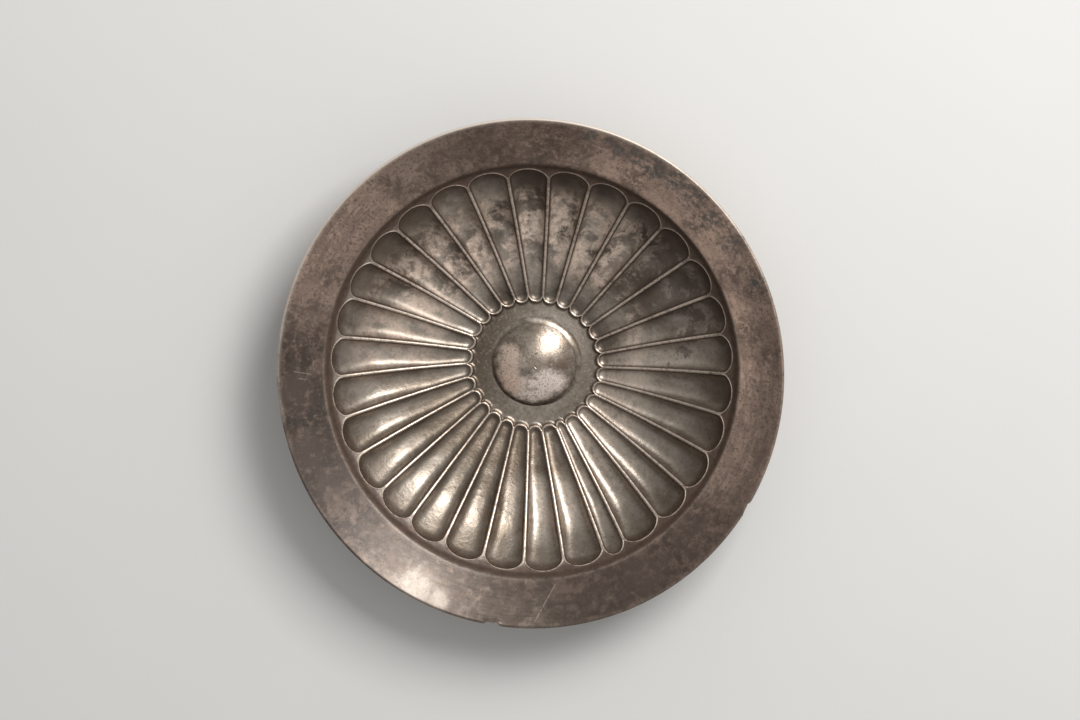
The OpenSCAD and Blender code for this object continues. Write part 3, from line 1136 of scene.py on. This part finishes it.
def boss_silver():
    """Silver of the boss, bare at its upper right and under a matt speckled film elsewhere."""
    look = Look("boss_silver")
    blots = look.cloud(5, 6, 0.66, 0.6)
    grain = look.cloud(1.2, 5, 0.65)
    pits = look.band(look.cloud(0.7, 2, 0.5), 0.60, 0.68, 0.8)
    ragged = look.times(look.cloud(3, 6, 0.7), 2, -1)
    film = look.product(look.near(BOSS_FILM, ragged, 0.55), look.band(grain, 0.2, 0.5))
    tone = look.layers(OLIVE, (SILVER, blots, 0.35, 0.65))
    chalky = look.band(look.times(ragged, 5, look.far(CHALK_SIDE)), -6, 4)
    low = look.band(look.z, DISC_Z + 2.2, DISC_Z + 1, 0.8)
    tone = look.over(
        tone,
        (BROWN, look.near(BOSS_SMEAR, ragged, 0.5), 0.7),
        (PALE, look.near(BOSS_BARE, ragged, 0.6), 0.45),
        (look.mix(chalky, FILM_AND_REFLECTION, CHALK), film),
        (BLUSH, film, look.near(BOSS_BLUSH, ragged, 0.6)),
        (BROWN, look.band(grain, 0.48, 0.66, 0.55)),
        (UMBER, pits),
        (BROWN, boss_mark(look, ragged), 0.55),
        # Dirt at the boss's foot with painted shade, on one side only
        (DIRT_AND_SHADE, low, dirt_and_shade_side(look)),
    )
    rough = look.times(film, 0.2, look.times(blots, 0.14, 0.24))
    look.surface(tone, look.times(film, -0.65, 1), rough)
    lines = look.most(*(look.scratches(*line) for line in BOSS_LINES))
    height = look.times(lines, -0.3, look.times(grain, 1.7))
    height = look.times(pits, -0.5, height)
    x, y, r = BOSS_NICK
    gone = look.vector("DISTANCE", look.plan, (x, y, 0))
    nick = look.product(look.ring(gone, r, 0.3), look.band(look.x, x, x - r))
    height = look.times(nick, -3, height)
    height = look.math("ADD", look.cloud(3, 2, 0.5), height)
    look.bump(height, 0.05, 0.8)
    return look.material


def hard_solder():
    """Solder gone as grey as the disc, darker on one side, where dirt has stayed, with painted shade."""
    look = Look("hard_solder")
    blots = look.cloud(4, 5, 0.6, 0.4)
    grain = look.cloud(0.8, 4, 0.6)
    tone = look.layers(OLIVE, (SILVER, blots, 0.35, 0.65), (UMBER, grain, 0.52, 0.72, 0.4))
    # Dirt with painted shade, on one side only
    tone = look.over(tone, (DIRT_AND_SHADE, dirt_and_shade_side(look), 0.6))
    look.surface(tone, 1, look.times(blots, 0.15, 0.26))
    look.bump(grain, 0.04, 0.5)
    return look.material


def pale_ground():
    """Matt pale ground with a faint unevenness of tone."""
    look = Look("pale_ground")
    look.surface(look.mix(look.cloud(90, 3), GROUND_DARK, GROUND_LIGHT), 0, 0.85)
    look.shader.inputs["Specular IOR Level"].default_value = 0.2
    return look.material


# Camera: its tilt off +Z and compass turn as seen from the bowl, and what its frame shows
VIEW_SIDE = (8.9, 21.4)
FRAME_WIDTH = 463.4
LENS = 100
SENSOR = 36
AIM_RIGHT = 4.56
AIM_UP = 7.16
# Soft box: tilt off +Z and compass turn, then distance and side in metres, watts and colour
KEY_SIDE = (40.2, 39.1)
KEY_DISTANCE = 1.3
KEY_SIZE = 0.55
KEY_WATTS = 12
KEY_COLOUR = (1, 0.99, 0.97)
# The room is lightest toward one side: brightness by how far a direction leans to it, from 0 to 1
ROOM_SIDE = (55, 40)
ROOM = ((0, 0.05), (0.25, 0.1), (0.42, 0.21), (0.55, 0.38), (0.78, 0.46), (1, 0.58))
ROOM_TINT = (1, 0.98, 0.95)


def toward(tilt, turn):
    """Direction tilted off +Z toward a compass turn, clockwise from +Y, in degrees."""
    t = math.radians(tilt)
    return Vector((*spot(turn, math.sin(t)), math.cos(t)))


def make_camera():
    """A long lens almost straight above the bowl, as in the photograph."""
    back = toward(*VIEW_SIDE)
    up = (Vector((0, 1, 0)) - back * back.y).normalized()
    right = up.cross(back)
    aim = Vector((0, 0, RIM_Z)) + right * AIM_RIGHT + up * AIM_UP
    place = (aim + back * (FRAME_WIDTH * LENS / SENSOR)) * MM
    data = bpy.data.cameras.new("camera")
    data.lens = LENS
    data.sensor_width = SENSOR
    data.clip_end = 50
    made = put_in_scene("camera", data)
    made.matrix_world = Matrix.Translation(place) @ Matrix((right, up, back)).transposed().to_4x4()
    bpy.context.scene.camera = made


def make_lamp():
    """A square soft box that faces the bowl."""
    data = bpy.data.lights.new("key", "AREA")
    data.shape = "SQUARE"
    data.size = KEY_SIZE
    data.energy = KEY_WATTS
    data.color = KEY_COLOUR
    made = put_in_scene("key", data)
    way = toward(*KEY_SIDE)
    made.location = way * KEY_DISTANCE
    made.rotation_mode = "QUATERNION"
    made.rotation_quaternion = way.to_track_quat("Z", "Y")


def make_world():
    """A plain grey room that grows dim on the side away from its window."""
    world = bpy.data.worlds.new("studio")
    bpy.context.scene.world = world
    world.use_nodes = True
    room = Nodes(world.node_tree)
    way = room.add("ShaderNodeTexCoord").outputs["Generated"]
    lean = room.vector("DOT_PRODUCT", way, toward(*ROOM_SIDE))
    colours = room.add("ShaderNodeValToRGB", {0: room.times(lean, 0.5, 0.5)})
    room.put(room.tree.nodes["Background"].inputs["Color"], colours.outputs[0])
    stops = colours.color_ramp.elements
    while len(stops) < len(ROOM):
        stops.new(0.5)
    for stop, (place, grey) in zip(stops, ROOM):
        stop.position = place
        stop.color = (*(grey * part for part in ROOM_TINT), 1)


bowl = make_bowl()
boss = make_boss()
seam = make_seam()
ground = make_ground()
bowl.data.materials.append(BowlLook().material)
boss.data.materials.append(boss_silver())
seam.data.materials.append(hard_solder())
ground.data.materials.append(pale_ground())
for piece, node, slot in (
    (bowl, "bowl", "aged_silver"), (boss, "omphalos", "boss_silver"), (seam, "solder_seam", "hard_solder")
):
    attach(piece, "root")
    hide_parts(node)
make_camera()
make_lamp()
make_world()
bpy.context.scene.view_settings.view_transform = "Standard"
